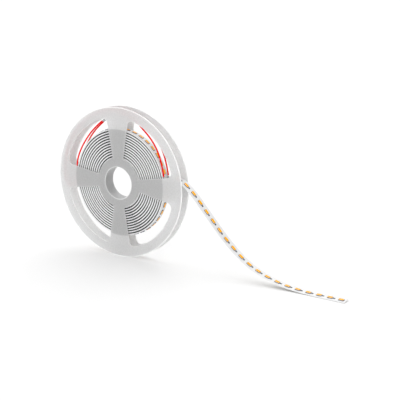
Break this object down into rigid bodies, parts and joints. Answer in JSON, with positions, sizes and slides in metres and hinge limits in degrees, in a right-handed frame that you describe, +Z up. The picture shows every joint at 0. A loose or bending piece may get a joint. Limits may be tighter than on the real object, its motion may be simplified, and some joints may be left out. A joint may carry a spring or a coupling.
{
  "type": "led strip light reel",
  "caption": "Frosted plastic reel with spoked flanges, full of white LED strip light whose loose end runs out over the ground; red supply leads lie round it.",
  "frame": {"origin": "on the ground under the middle of the reel, which stands on its two rims; the loose strip isn't counted", "axes": "+Z up, Y along the reel's bore with the front flange towards -Y, and the loose strip runs out towards +X"},
  "size_m": [0.3739, 0.0173, 0.175],
  "materials": {
    "frosted_plastic": "frosted, lets light through",
    "white_strip": "white lacquer on flexible board",
    "lamp_phosphor": "white case with yellow resin window",
    "resistor_black": "black glaze with tinned ends",
    "red_insulation": "smooth extruded",
    "tinned_copper": "tinned"
  },
  "bodies": {
    "root": {"reel_front_half": "frosted_plastic", "reel_rear_flange": "frosted_plastic", "strip_winding": "white_strip", "strip_tail": "white_strip", "tail_lamp_01": "lamp_phosphor", "tail_lamp_02": "lamp_phosphor", "tail_lamp_03": "lamp_phosphor", "tail_lamp_04": "lamp_phosphor", "tail_lamp_05": "lamp_phosphor", "tail_lamp_06": "lamp_phosphor", "tail_lamp_07": "lamp_phosphor", "tail_lamp_08": "lamp_phosphor", "tail_lamp_09": "lamp_phosphor", "tail_lamp_10": "lamp_phosphor", "tail_lamp_11": "lamp_phosphor", "tail_lamp_12": "lamp_phosphor", "tail_lamp_13": "lamp_phosphor", "tail_lamp_14": "lamp_phosphor", "tail_lamp_15": "lamp_phosphor", "tail_lamp_16": "lamp_phosphor", "tail_lamp_17": "lamp_phosphor", "tail_lamp_18": "lamp_phosphor", "tail_lamp_19": "lamp_phosphor", "tail_lamp_20": "lamp_phosphor", "tail_resistor_01": "resistor_black", "tail_resistor_02": "resistor_black", "tail_resistor_03": "resistor_black", "tail_resistor_04": "resistor_black", "tail_resistor_05": "resistor_black", "tail_resistor_06": "resistor_black", "tail_resistor_07": "resistor_black", "tail_resistor_08": "resistor_black", "tail_resistor_09": "resistor_black", "tail_resistor_10": "resistor_black", "tail_resistor_11": "resistor_black", "tail_resistor_12": "resistor_black", "tail_resistor_13": "resistor_black", "tail_resistor_14": "resistor_black", "tail_resistor_15": "resistor_black", "tail_resistor_16": "resistor_black", "tail_resistor_17": "resistor_black", "tail_resistor_18": "resistor_black", "tail_resistor_19": "resistor_black", "lead_front": "red_insulation", "lead_tip_front": "tinned_copper", "solder_joint_front": "tinned_copper", "lead_rear": "red_insulation", "lead_tip_rear": "tinned_copper", "solder_joint_rear": "tinned_copper"}
  },
  "joints": []
}
